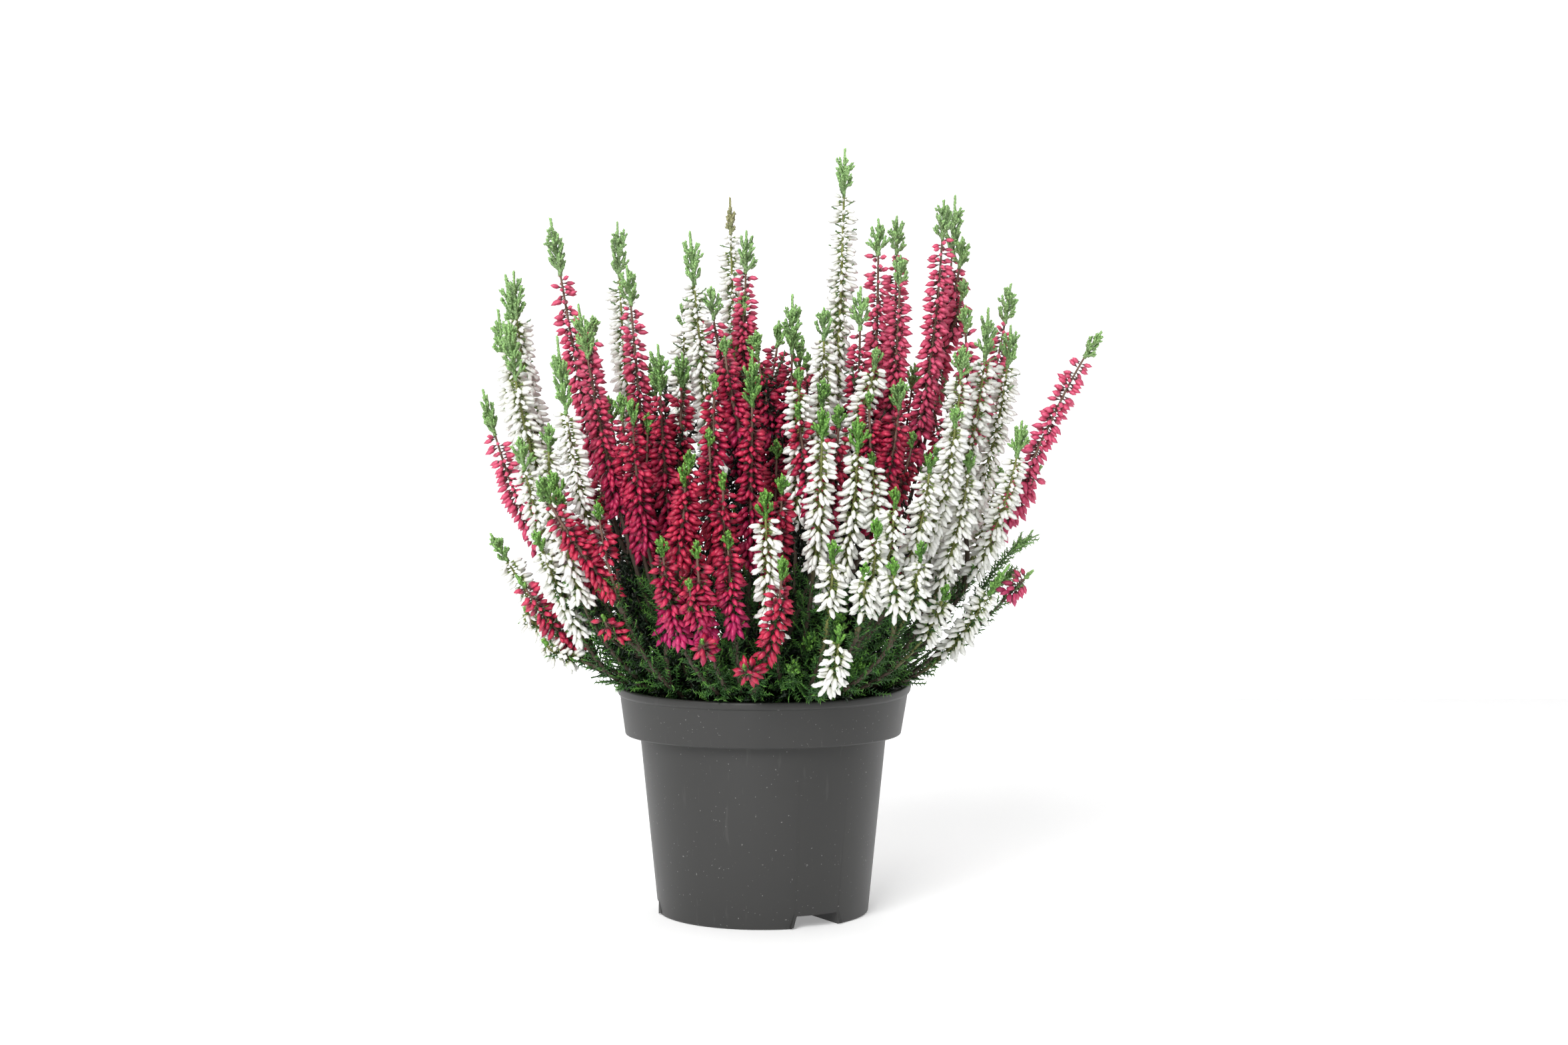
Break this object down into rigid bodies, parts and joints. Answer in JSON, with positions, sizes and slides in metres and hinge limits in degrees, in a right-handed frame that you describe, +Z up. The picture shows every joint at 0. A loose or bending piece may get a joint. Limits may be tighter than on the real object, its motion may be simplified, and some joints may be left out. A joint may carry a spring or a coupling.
{
  "type": "potted heather",
  "caption": "Potted heather: red-budded and white-budded spikes with leafy green tips fan out of the peat in a plain round grey plastic pot with a banded rim.",
  "frame": {"origin": "on the pot's axis, in the plane of the flat foot that it stands on", "axes": "+Z up along the pot's axis, -Y towards the side that the picture shows, +X to its right"},
  "size_m": [0.2372, 0.18, 0.2903],
  "materials": {
    "pot_plastic": "dark taupe grey moulded plastic, satin",
    "peat": "moist dark brown peat, matte",
    "foliage": "green scale leaves on brown woody stems, matte",
    "red_buds": "crimson closed buds, soft satin",
    "white_buds": "white closed buds, soft satin"
  },
  "bodies": {
    "root": {"pot": "pot_plastic", "red_buds_01": "red_buds", "red_buds_02": "red_buds", "red_buds_03": "red_buds", "red_buds_04": "red_buds", "red_buds_05": "red_buds", "red_buds_06": "red_buds", "red_buds_07": "red_buds", "red_buds_08": "red_buds", "red_buds_09": "red_buds", "red_buds_10": "red_buds", "red_buds_11": "red_buds", "red_buds_12": "red_buds", "red_buds_13": "red_buds", "red_buds_14": "red_buds", "red_buds_15": "red_buds", "red_buds_16": "red_buds", "red_buds_17": "red_buds", "red_buds_18": "red_buds", "red_buds_19": "red_buds", "red_buds_20": "red_buds", "red_buds_21": "red_buds", "red_buds_22": "red_buds", "red_buds_23": "red_buds", "red_buds_24": "red_buds", "red_buds_25": "red_buds", "red_buds_26": "red_buds", "red_buds_27": "red_buds", "red_buds_28": "red_buds", "red_heather_1_stems": "foliage", "red_heather_2_stems": "foliage", "red_heather_3_stems": "foliage", "red_heather_4_stems": "foliage", "soil": "peat", "white_buds_01": "white_buds", "white_buds_02": "white_buds", "white_buds_03": "white_buds", "white_buds_04": "white_buds", "white_buds_05": "white_buds", "white_buds_06": "white_buds", "white_buds_07": "white_buds", "white_buds_08": "white_buds", "white_buds_09": "white_buds", "white_buds_10": "white_buds", "white_buds_11": "white_buds", "white_buds_12": "white_buds", "white_buds_13": "white_buds", "white_buds_14": "white_buds", "white_buds_15": "white_buds", "white_buds_16": "white_buds", "white_buds_17": "white_buds", "white_buds_18": "white_buds", "white_buds_19": "white_buds", "white_buds_20": "white_buds", "white_buds_21": "white_buds", "white_buds_22": "white_buds", "white_heather_1_stems": "foliage", "white_heather_2_stems": "foliage", "white_heather_3_stems": "foliage", "white_heather_4_stems": "foliage"}
  },
  "joints": []
}
